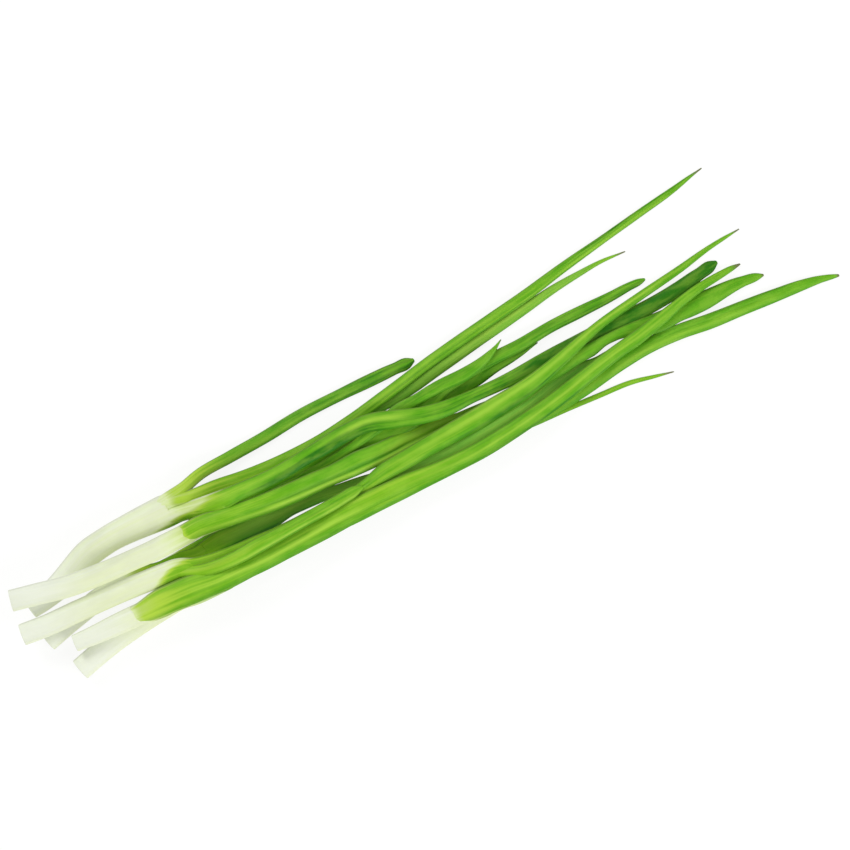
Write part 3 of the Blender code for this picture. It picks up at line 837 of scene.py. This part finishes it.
FULL_SEAT = (0.0, 0.0, 0.95, 0.95)
LEAF_LOOKS = {
    "onion_1_leaf_1": LeafLook(
        (0.5, 0.0, 0.49, 0.86), (0.1, 0.45, 0.65, 0.8), 40, 0.5, (0.5, 0.3),
        painted_shades=((0.8, 0.4, 0.3, 20, 130),), strips=((-0.35, 0.3, 0.3, 10, 115),),
        wax=0.05, dry=0, tip=1.6,
    ),
    "onion_1_leaf_2": LeafLook(
        (0.16, 0.1, 0.52, 0.87), (0.05, 0.3, 0.4, 0.35, 0.35), 40, 0.5, (-0.3, 0.4),
        painted_shades=((0.7, 0.6, 0.5, 180, 330),),
        creases=((-0.35, 0.16, 0.3, 80, 190), (0.0, 0.14, 0.3, 190, 280)),
        strips=((0.2, 0.25, 0.35, 40, 200), (-0.4, 0.25, 0.5, 190, 270)), dry=7,
    ),
    "onion_1_leaf_3": LeafLook(
        (-0.84, 0.0, 0.66, 0.97), (0.05, 0.5, 0.6, 0.8, 1.4, 1.6), 30, 0.7, (0.3, -0.3),
        painted_shades=((-0.7, 0.6, 0.7, 22, 110),), creases=((-0.2, 0.15, 0.3, 60, 130),),
        strips=((0.2, 0.3, 0.4, 10, 60), (0.3, 0.3, 0.6, 75, 118)),
        bulges=((-1, 1.2, 2, 32), (-1, 1.2, 60, 112), (-1, 1.8, 92, 146), (-1, 0.9, 165, 255)),
        dry=0, tip=1.6,
    ),
    "onion_1_leaf_4": LeafLook(
        (-0.3, -0.5, 0.3, 0.4), (0.5, 0.35, 0.2, 0.3), lean=(0.2, 0.2),
        strips=((0.1, 0.4, 0.3, 100, 220),), wax=0.2, dry=6,
    ),
    "onion_2_leaf_1": LeafLook(
        FULL_SEAT, (0.15, 0.3, 0.5, 0.3, 0.3, 0.6, 0.5, 0.5),
        14, 0.85, (0.2, -0.2), creases=((-0.35, 0.14, 0.5, 12, 170),),
        strips=((-0.7, 0.2, 0.9, 2, 150), (0.3, 0.4, 0.3, 90, 150)),
        bulges=(
            (-1, 0.8, -8, 20), (1, 1.8, 70, 124), (1, -2.1, 121, 168), (1, 0.8, 172, 240),
            (-1, 0.9, 156, 196), (-1, -1.8, 201, 229), (-1, 1.6, 214, 246), (-1, 1.6, 220, 274),
            (-1, 1.0, 236, 285),
        ),
        dry=1, tip=1.3,
    ),
    "onion_2_leaf_2": LeafLook(
        (0.3, -0.3, 0.4, 0.4), (0.5, 0.5, 0.65, 0.7), lean=(0.1, 0.3),
        bulges=((1, 1.2, 60, 120), (-1, 3.2, 86, 136)), dry=0, tip=1.4,
    ),
    "onion_2_leaf_3": LeafLook(
        (-0.3, -0.3, 0.4, 0.4), (0.5, 0.6, 0.6), lean=(0.0, 0.3),
        bulges=((1, 1.6, 84, 124),), dry=2,
    ),
    "onion_3_leaf_1": LeafLook(
        FULL_SEAT, (0.0, 0.3, 0.3, 0.35, 0.4), 20, 0.7, (0.3, -0.2),
        painted_shades=((-0.8, 0.5, 0.4, 100, 300),), creases=((0.2, 0.13, 0.35, 20, 120),),
        strips=((0.25, 0.25, 0.6, 90, 300),),
        bulges=((1, -2.2, 22, 108), (1, -1.6, 66, 108), (-1, 1.4, 125, 226)), dry=5,
    ),
    "onion_3_leaf_2": LeafLook(
        (-0.3, 0.1, 0.55, 0.8), (0.0, 0.3, 0.4), 25, 0.7, (-0.2, 0.0),
        creases=((0.1, 0.16, 0.25, 45, 92),), bulges=((1, -0.9, 34, 96),),
        strips=((-0.6, 0.2, 0.6, 12, 80), (-0.8, 0.22, 0.9, 66, 97)), dry=0, tip=1.5,
    ),
    "onion_4_leaf_1": LeafLook(
        FULL_SEAT, (0.0, 0.0, 0.2, 0.3, 0.3, 0.5), 20, 0.7, (0.1, 0.1),
        painted_shades=((-0.8, 0.5, 0.9, 10, 80), (0.9, 0.3, 0.6, 10, 80)), strips=((0.1, 0.4, 0.4, 16, 70),),
        bulges=((1, -1.6, -18, 14), (1, 2.4, 8, 54), (-1, -1.8, 44, 84), (1, -2.6, 198, 240)),
        wax=0.25, dry=2,
    ),
    "onion_4_leaf_2": LeafLook(
        (0.2, -0.2, 0.5, 0.5), (0.6, 0.6, 0.7), lean=(0.0, 0.2),
        bulges=((-1, 1.3, 128, 170),), dry=2,
    ),
    "onion_5_leaf_1": LeafLook(
        FULL_SEAT, (0.15, 0.25, 0.1, 0.4, 0.35, 0.4), 30, 0.55, (0.1, -0.2),
        painted_shades=((-0.85, 0.4, 0.35, 10, 320),),
        creases=((0.6, 0.1, 0.15, 22, 90), (-0.45, 0.14, 0.2, 60, 210)),
        strips=((-0.1, 0.18, 0.8, 14, 130), (0.0, 0.16, 0.55, 120, 305)),
        bulges=((1, 1.8, 0, 42), (1, 1.3, 90, 155), (-1, 0.9, 245, 285)), dry=5, tip=1.0,
    ),
    "onion_6_leaf_1": LeafLook(
        FULL_SEAT, (0.2, 0.5, 0.5, 0.4, 0.45), 20, 0.6, (0.2, 0.2),
        painted_shades=((0.8, 0.4, 0.3, 200, 330),), creases=((0.1, 0.14, 0.25, 230, 320),),
        strips=((-0.4, 0.3, 0.35, 200, 325),), dry=1.5, tip=1.4,
    ),
    "onion_6_leaf_2": LeafLook(
        (-0.2, -0.3, 0.4, 0.4), (0.6, 0.45, 0.2), lean=(0.0, 0.2), dry=7,
    ),
}
# Leaves whose green goes on from the sheath's without a step
JOINED = ("onion_1_leaf_3", "onion_3_leaf_1", "onion_3_leaf_2", "onion_4_leaf_1")
print("leaves with a crease:", sum(bool(look.creases) for look in LEAF_LOOKS.values()))

# %% [markdown]
# ## The leaves
# A leaf is a hollow tube that has gone soft and lies half flat. Its section here is an oval squeezed
# a little towards a box, leaning to one side by a phase, with creases pressed into the upper side.
# It starts inside its shank, with the section that the shank has there, and takes its own height and
# thickness within a few centimetres. Width and thickness waver slowly, because no leaf is even.

# %% Shaping a leaf
INSIDE_SHANK = 12.0
SEAT_LENGTH = 26.0
LEAF_SIDES = 48
LEAF_RING_SPACING = 1.4
LEAF_FACETS = 10
TIP_CLOSING = (0.35, 0.6, 0.8, 0.93, 0.99)
BASE_CLOSING = (0.02, 0.5, 0.85)
SEAT_GAP = 0.4
# A leaf's place across, width and height at its base, as shares of those at its seat
INSIDE_ACROSS, INSIDE_WIDTH, INSIDE_HEIGHT = 0.7, 0.9, 0.8
# The slow wavers of a leaf: how much, and over how many mm
WIDTH_WAVER, HEIGHT_WAVER = (0.035, 90.0), (0.07, 60.0)
LEAN_WAVER, CREASE_WAVER = (0.25, 130.0), (0.1, 110.0)
# Between which distances from the seat or the tip a leaf becomes free to waver
FREE_OF_SEAT, FREE_OF_TIP = (15.0, 40.0), (5.0, 25.0)
# Where the section takes its lean and squeeze, and where it narrows to the tip
LEAN_IN = 40.0
TIP_NARROWING = (-2.0, 9.0)
SQUEEZE = 0.86
# How dark the painted shade in a crease is for its depth, how narrow its line of painted shade is, and
# how steep its sides
CREASE_SHADE_DARKNESS, CREASE_SHADE_LINE, CREASE_SIDES = 1.2, 0.6, 1.5
# The green of a leaf inside the mouth, and where it takes its own
SEAT_GREEN, OWN_GREEN = 0.15, (-1.5, 4.0)
# The least green past a mouth, and where it begins
MOUTH_GREEN, MOUTH_TINGE = 0.24, (-6.0, 5.0)
# How far on in the noise of the skin each seed starts (cm)
SKIN_STEP = 7.3


def band(reach, start, end):
    """1 between START and END along a stalk, fading over a third of it at each end."""
    fade = (end - start) / 3
    return easing(reach, start, start + fade) * (1.0 - easing(reach, end - fade, end))


def bulge(columns, reach, bulges):
    """Widens a stalk's columns on one side, or narrows them."""
    for side, amount, start, end in bulges:
        out = amount / 2 * band(reach, start, end)
        columns[:, :2] += columns[:, 2:4] * side * out[:, None]
        columns[:, 4] += out


def darkness(look, length, from_seat, across):
    """The tone of a leaf with its painted shade, and of the sheath that turns into it."""
    share = np.clip(from_seat / length, 0.0, 1.0)
    tone = np.interp(share, np.linspace(0.0, 1.0, len(look.tones)), look.tones)
    # Painted shade darkens bands along the leaf
    for place, width, amount, start, end in look.painted_shades:
        tone += amount * np.exp(-(((across - place) / width) ** 2)) * band(from_seat, start, end)
    return tone * easing(from_seat, 0.0, look.pale)


def shank_of(leaf_name):
    return leaf_name[: len("onion_1_")] + "shank"


def leaf_stalk(name, look):
    """The stalk of a leaf, from inside its shank through its seat in the mouth to its tip."""
    shank = BARE_SHANKS[shank_of(name)]
    at_mouth = shank.read(np.array([shank.length]))[0]
    mouth_x, mouth_y, left_x, left_y, half_width, half_height, _ = at_mouth
    across, up, wide, thick = look.seat
    middle, left = np.array([mouth_x, mouth_y]) + BOX_MIDDLE, np.array([left_x, left_y])
    ahead = np.array([left_y, -left_x])
    seat = middle + ahead * SEAT_GAP + left * across * half_width
    inside = middle - ahead * INSIDE_SHANK + left * across * half_width * INSIDE_ACROSS
    width = 2 * wide * half_width
    (first_x, first_y, first_width), second, *others = LEAF_ROUTES[name]
    first = (first_x, first_y, max(first_width, (width + second[2]) / 2))
    route = ((*inside, INSIDE_WIDTH * width), (*seat, width), first, second, *others)
    stalk = stalk_along(route, name, LEAF_FACETS)
    from_seat = stalk.reach - INSIDE_SHANK
    bulge(stalk.columns, from_seat, look.bulges)
    seated = 1.0 - easing(from_seat, 0.0, SEAT_LENGTH)
    opening = np.interp(from_seat, (-INSIDE_SHANK, 0.0), (INSIDE_HEIGHT, 1.0))
    shank_middle = shank.read(shank.length + np.minimum(from_seat, 0.0))[:, 6]
    stalk.columns[:, 5] += seated * (thick * half_height * opening - stalk.columns[:, 5])
    stalk.columns[:, 6] += seated * (shank_middle + up * half_height * opening - stalk.columns[:, 6])
    return stalk


def greenness(plan, past_mouth, shank):
    """0 on white skin and 1 on green, by the distance past the mouth and the place across its leaf."""
    look = SHANK_LOOKS[shank]
    leaf = LEAF_STALKS[look.follows]
    middle_x, middle_y, left_x, left_y, half_width = leaf.read(past_mouth + INSIDE_SHANK).T[:5]
    across = ((plan[:, 0] - middle_x) * left_x + (plan[:, 1] - middle_y) * left_y) / half_width
    held_back = look.pale_run * easing(across, *look.pale_side)
    ragged = 0.7 * np.sin(4.0 * across + 1.0) + 0.5 * np.sin(11.0 * across)
    reach = past_mouth - held_back + ragged
    green = easing(reach, look.green_from, look.green_from + look.green_over)
    return np.maximum(green, MOUTH_GREEN * easing(past_mouth, *MOUTH_TINGE))


def ring_places(stalk):
    """Distance along the stalk and size of every ring: a closed base, the blade, a rounded tip."""
    blade = np.linspace(0.0, stalk.length, round(stalk.length / LEAF_RING_SPACING))
    tip = stalk.read(np.array([stalk.length]))[0, 4]
    places = [(0.0, size) for size in BASE_CLOSING] + [(at, 1.0) for at in blade]
    places += [(stalk.length + tip * share, math.sqrt(1.0 - share**2)) for share in TIP_CLOSING]
    return np.array(places)


def waver(setting, reach, seed, free=1.0):
    """A slow waver of a set amount and length, where the stalk is free to waver."""
    amount, longest = setting
    return amount * free * wavering(reach, longest, seed)


def make_leaf(name, look, seed):
    """Lays a tube along the leaf's stalk and stores the tones and marks of its skin."""
    stalk = LEAF_STALKS[name]
    places = ring_places(stalk)
    mesh = straight_tube(len(places), LEAF_SIDES)
    ring, angle = rings_and_angles(mesh)
    reach, size = places[ring].T
    x, y, left_x, left_y, half_width, half_height, middle = stalk.read(reach).T
    from_seat = reach - INSIDE_SHANK
    to_tip = np.maximum(stalk.length - reach, 0.0)
    share = np.clip(from_seat / (stalk.length - INSIDE_SHANK), 0.0, 1.0)
    free = easing(from_seat, *FREE_OF_SEAT) * easing(to_tip, *FREE_OF_TIP)
    half_width = half_width * (1.0 + waver(WIDTH_WAVER, reach, seed, free))
    half_width = half_width * (look.tip + (1.0 - look.tip) * easing(to_tip, *TIP_NARROWING))
    half_height = half_height * (1.0 + waver(HEIGHT_WAVER, reach, seed + 1, free))
    leaning = easing(from_seat, 0.0, LEAN_IN)
    lean = look.lean[0] + (look.lean[1] - look.lean[0]) * share + waver(LEAN_WAVER, reach, seed + 2)
    across = np.cos(angle)
    lifted = np.sin(angle + lean * leaning)
    height = np.sign(lifted) * np.abs(lifted) ** (1.0 - (1.0 - SQUEEZE) * leaning)
    upper = np.clip(lifted, 0.0, 1.0) ** 0.5
    drift = waver(CREASE_WAVER, reach, seed + 3, free)
    crease_shade_mark, highlight_mark = np.zeros_like(reach), np.zeros_like(reach)
    # Each crease is pressed in and gets a line of painted shade
    for place, width, depth, start, end in look.creases:
        away = np.abs(across - place - drift) / width
        here = band(from_seat, start, end) * upper
        height -= depth * np.exp(-(away**CREASE_SIDES)) * here
        crease_shade_mark += CREASE_SHADE_DARKNESS * depth * np.exp(-((away / CREASE_SHADE_LINE) ** 2)) * here
    # Painted highlights: bright bands along the top of the leaf
    for place, width, strength, start, end in look.strips:
        away = np.abs(across - place - drift) / width
        highlight_mark += strength * np.exp(-(away**2)) * band(from_seat, start, end) * upper
    points = np.column_stack([
        x + left_x * half_width * size * across,
        y + left_y * half_width * size * across,
        np.maximum(middle + half_height * size * height, 0.0),
    ])
    if name in JOINED:
        green = greenness(points[:, :2], from_seat, shank_of(name))
    else:
        green = SEAT_GREEN + (look.base - SEAT_GREEN) * easing(from_seat, *OWN_GREEN)
        green += (1.0 - look.base) * easing(from_seat, 0.0, look.pale)
    tone = darkness(look, stalk.length - INSIDE_SHANK, from_seat, across - drift)
    to_end = places[-1, 0] - reach
    dry = (look.dry > 0) * (1.0 - easing(to_end, look.dry * 0.25, look.dry + 0.01))
    attributes = {
        "skin": np.column_stack([across * size, np.sin(angle) * size, reach / 10.0 + SKIN_STEP * seed]),
        "tint": np.column_stack([green, tone, dry]),
        "marks": np.column_stack(
            [np.clip(crease_shade_mark, 0, 1), np.clip(highlight_mark, 0, 1), look.wax * free]
        ),
    }
    return finish_tube(mesh, "fine_" + name, points, attributes, GREEN_LEAF, "green_leaf", name)


LEAF_STALKS = {name: leaf_stalk(name, look) for name, look in LEAF_LOOKS.items()}
leaves = [
    make_leaf(name, look, 10 * index) for index, (name, look) in enumerate(LEAF_LOOKS.items())
]
print(len(leaves), "leaves,", sum(len(leaf.data.polygons) for leaf in leaves), "faces")

# %% [markdown]
# ## The shanks
# The cut end of a shank shows the rolled sheaths as rings. At the other end the outermost sheath
# runs on along the main leaf, close on it like a sleeve, and ends in a thin edge. The same straight
# tube makes it, with one ring list that goes over the cut face, along the outside, over the thin
# edge, back down the inside and closed there.

# %% Shaping a shank
SHANK_SIDES = 72
SHANK_RING_SPACING = 0.9
SHEATH_LAYERS = (0.14, 0.32, 0.50, 0.66, 0.80, 0.92)
GROOVE = 0.35
CUT_ROUNDING = 0.5
# Rings of the cut face below this size are on the face, and the others on its rounded edge
FACE_SIZE = 0.985
MOUTH_START = 32.0
# How much wider a sleeve is than its leaf, and where it turns from the shank's line to the leaf's
SHEATH = 0.2
SLEEVE_TURN = (-4.0, 9.0)
SLEEVE_LENGTH = 40.0
EDGE_THICKNESS = 0.3
INNER_DEPTH = 10.0
RIM_CLOSING = 8.0
# How far a joined sleeve closes on its leaf, as a share of the sheath
RIM_CLOSENESS = 0.9
# The rim is ragged: how much (mm), and in how many waves
RAGGED_RIM, RAGGED_WAVES = 0.3, 5.0
# The slow wavers of a shank, and where it becomes free to waver
SHANK_WIDTH_WAVER, SHANK_HEIGHT_WAVER, FREE_OF_CUT = (0.012, 50.0), (0.012, 40.0), (5.0, 20.0)
# How far the bare white runs from the cut end, and how green the middle of the cut face is
WHITE_RUN = 50.0
CUT_GREEN = 0.3


def sleeved(name, look):
    """The shank's stalk, spread at its mouth and carried on close along the leaf that it follows."""
    shank, leaf = BARE_SHANKS[name], LEAF_STALKS[look.follows]
    reach = np.arange(0.0, shank.length + SLEEVE_LENGTH, STEP)
    past = reach - shank.length
    own, onward = shank.read(reach), leaf.read(past + INSIDE_SHANK)
    onward[:, 4:6] += SHEATH
    spread = look.spread / 2 * easing(past, -MOUTH_START, 0.0)
    own[:, :2] -= own[:, 2:4] * spread[:, None]
    own[:, 4] += spread
    bulge(own, past, look.bulges)
    return Stalk(reach, own + easing(past, *SLEEVE_TURN)[:, None] * (onward - own))


def cut_face():
    """Distance in from the cut and size of the rings over the cut face, from its middle outwards."""
    rings = [(0.15, 0.01), (0.1, 0.06)]
    for layer in SHEATH_LAYERS:
        rings += [(0.0, layer - 0.035), (GROOVE, layer), (0.05, layer + 0.03)]
    return rings + [(0.0, 0.965), (0.12, 0.985), (CUT_ROUNDING, 1.0)]


def shank_rings(mouth):
    """The rings of a shank: distance along, share of the way to the mouth's edge, share of the way
    back inside, size, and how many edge thicknesses they lie in."""
    start = mouth - MOUTH_START
    outer = np.linspace(CUT_ROUNDING, mouth, round(mouth / SHANK_RING_SPACING))[1:]
    rings = [(at, 0.0, 0.0, size, 0.0) for at, size in cut_face()]
    rings += [(min(at, start), max(0.0, (at - start) / MOUTH_START), 0.0, 1.0, 0.0) for at in outer]
    rings += [(start, 1.0, 0.0, 1.0, wall) for wall in (0.4, 1.0)]
    rings += [(start, 1.0, back, 1.0, 1.0 + back) for back in np.linspace(0.08, 1.0, 12)]
    return rings + [(start, 1.0, 1.0, size, 2.0) for size in (0.6, 0.2, 0.01)]


def make_shank(name, look, seed):
    """Lays a tube along the shank and its sleeve, and stores the tones and marks of its skin."""
    stalk = sleeved(name, look)
    mouth = BARE_SHANKS[name].length
    rows = shank_rings(mouth)
    mesh = straight_tube(len(rows), SHANK_SIDES)
    ring, angle = rings_and_angles(mesh)
    base, along_mouth, back, size, wall = np.array(rows)[ring].T
    rim_angles, rim_reach = np.radians(look.rim)[:, 0], np.array(look.rim)[:, 1]
    edge = mouth + np.interp(angle, rim_angles, rim_reach, period=math.tau)
    edge += RAGGED_RIM * np.sin(RAGGED_WAVES * angle + seed)
    reach = base + along_mouth * (edge - (mouth - MOUTH_START))
    reach = reach * (1.0 - back) + (mouth - INNER_DEPTH) * back
    x, y, left_x, left_y, half_width, half_height, middle = stalk.read(reach).T
    thinner = EDGE_THICKNESS * wall
    if look.follows in JOINED:
        thinner += RIM_CLOSENESS * SHEATH * (1.0 - easing(edge - reach, 0.0, RIM_CLOSING))
    free = easing(reach, *FREE_OF_CUT)
    half_width = half_width * (1.0 + waver(SHANK_WIDTH_WAVER, reach, seed, free)) - thinner
    half_height = half_height * (1.0 + waver(SHANK_HEIGHT_WAVER, reach, seed + 1, free)) - thinner
    across, lifted = np.cos(angle), np.sin(angle)
    points = np.column_stack([
        x + left_x * half_width * size * across,
        y + left_y * half_width * size * across,
        np.maximum(middle + half_height * size * lifted, 0.0),
    ])
    on_face = (size < FACE_SIZE) & (base < 1.0)
    # The grooves between the sheaths on the cut face get painted shade
    painted_groove_shade = np.where(on_face & (base >= GROOVE * 0.9), 1.0, 0.0)
    past_mouth = reach - mouth
    bare = 1.0 - easing(reach, 0.0, WHITE_RUN)
    green = greenness(points[:, :2], past_mouth, name) - bare
    green = np.where(on_face, CUT_GREEN * (1.0 - size), green)
    leaf_length = LEAF_STALKS[look.follows].length - INSIDE_SHANK
    # The sheath takes its leaf's tone with its painted shade
    dark = darkness(LEAF_LOOKS[look.follows], leaf_length, past_mouth, across)
    none = np.zeros_like(reach)
    attributes = {
        "skin": np.column_stack([across * size, lifted * size, reach / 10.0 + SKIN_STEP * seed]),
        "tint": np.column_stack([green, dark, none]),
        "marks": np.column_stack([painted_groove_shade, none, none]),
    }
    return finish_tube(mesh, "fine_" + name, points, attributes, PALE_SHANK, "pale_shank", name)


shanks = [
    make_shank(name, look, 200 + 10 * index) for index, (name, look) in enumerate(SHANK_LOOKS.items())
]
print(len(shanks), "shanks,", sum(len(shank.data.polygons) for shank in shanks), "faces")
